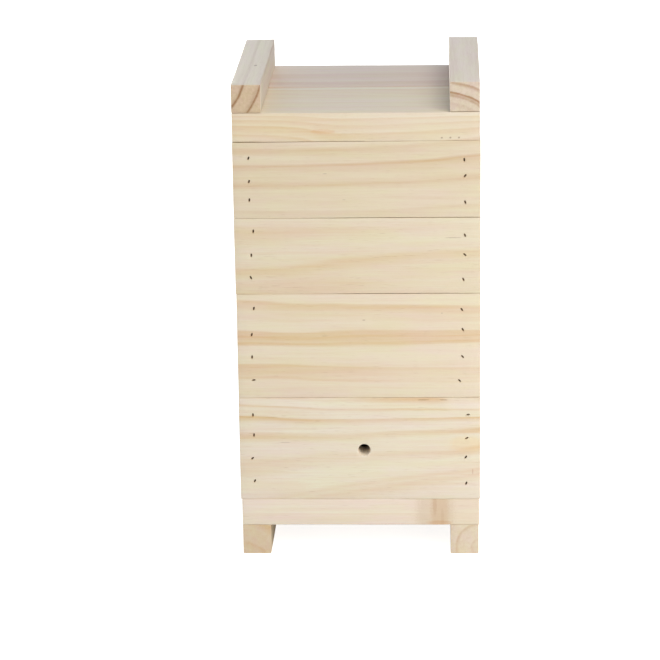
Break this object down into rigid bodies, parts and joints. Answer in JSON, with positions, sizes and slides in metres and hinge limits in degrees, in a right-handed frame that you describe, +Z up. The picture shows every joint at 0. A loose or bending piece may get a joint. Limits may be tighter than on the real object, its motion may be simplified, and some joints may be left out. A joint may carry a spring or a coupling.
{
  "type": "beehive",
  "caption": "Small hive for stingless bees: stacked nailed pine boxes with a round front entrance, between a floor on feet and a lid with battens.",
  "frame": {"origin": "on the ground, under the middle of the hive's outline", "axes": "+X to the hive's right as seen from the front, +Y from the front with the entrance to the back, +Z up"},
  "size_m": [0.156, 0.156, 0.3171],
  "materials": {
    "wall_pine": "planed pale pine with soft tan growth bands, unvarnished",
    "cap_pine": "planed pale pine boards of the floor and lid, unvarnished",
    "strip_pine": "sawn and planed pine strips with open end grain, unvarnished",
    "inner_pine": "thin sawn pine inside the boxes, unvarnished",
    "brad_steel": "dark bright-drawn wire steel"
  },
  "bodies": {
    "floor": {"floor_front_board": "cap_pine", "floor_rear_board": "cap_pine", "foot_left": "strip_pine", "foot_right": "strip_pine"},
    "nest": {"nest_back": "wall_pine", "nest_brad_left_1": "brad_steel", "nest_brad_left_2": "brad_steel", "nest_brad_left_3": "brad_steel", "nest_brad_left_4": "brad_steel", "nest_brad_right_1": "brad_steel", "nest_brad_right_2": "brad_steel", "nest_brad_right_3": "brad_steel", "nest_brad_right_4": "brad_steel", "nest_front": "wall_pine", "nest_left": "wall_pine", "nest_right": "wall_pine"},
    "over_nest": {"over_nest_back": "wall_pine", "over_nest_brad_left_1": "brad_steel", "over_nest_brad_left_2": "brad_steel", "over_nest_brad_left_3": "brad_steel", "over_nest_brad_left_4": "brad_steel", "over_nest_brad_right_1": "brad_steel", "over_nest_brad_right_2": "brad_steel", "over_nest_brad_right_3": "brad_steel", "over_nest_brad_right_4": "brad_steel", "over_nest_corner_back_left": "inner_pine", "over_nest_corner_back_right": "inner_pine", "over_nest_corner_front_left": "inner_pine", "over_nest_corner_front_right": "inner_pine", "over_nest_front": "wall_pine", "over_nest_left": "wall_pine", "over_nest_right": "wall_pine"},
    "lower_super": {"lower_super_back": "wall_pine", "lower_super_brad_left_1": "brad_steel", "lower_super_brad_left_2": "brad_steel", "lower_super_brad_left_3": "brad_steel", "lower_super_brad_right_1": "brad_steel", "lower_super_brad_right_2": "brad_steel", "lower_super_brad_right_3": "brad_steel", "lower_super_floor": "inner_pine", "lower_super_front": "wall_pine", "lower_super_left": "wall_pine", "lower_super_right": "wall_pine"},
    "upper_super": {"upper_super_back": "wall_pine", "upper_super_brad_left_1": "brad_steel", "upper_super_brad_left_2": "brad_steel", "upper_super_brad_left_3": "brad_steel", "upper_super_brad_right_1": "brad_steel", "upper_super_brad_right_2": "brad_steel", "upper_super_brad_right_3": "brad_steel", "upper_super_floor": "inner_pine", "upper_super_front": "wall_pine", "upper_super_left": "wall_pine", "upper_super_right": "wall_pine"},
    "lid": {"lid_batten_left": "strip_pine", "lid_batten_right": "strip_pine", "lid_front_board": "cap_pine", "lid_rear_board": "cap_pine"}
  },
  "joints": [
    {"name": "nest_lift", "type": "slide", "parent": "floor", "child": "nest", "axis": [0, 0, 1], "range_m": [0, 0.08]},
    {"name": "over_nest_lift", "type": "slide", "parent": "nest", "child": "over_nest", "axis": [0, 0, 1], "range_m": [0, 0.08]},
    {"name": "lower_super_lift", "type": "slide", "parent": "over_nest", "child": "lower_super", "axis": [0, 0, 1], "range_m": [0, 0.08]},
    {"name": "upper_super_lift", "type": "slide", "parent": "lower_super", "child": "upper_super", "axis": [0, 0, 1], "range_m": [0, 0.08]},
    {"name": "lid_lift", "type": "slide", "parent": "upper_super", "child": "lid", "axis": [0, 0, 1], "range_m": [0, 0.08]}
  ]
}
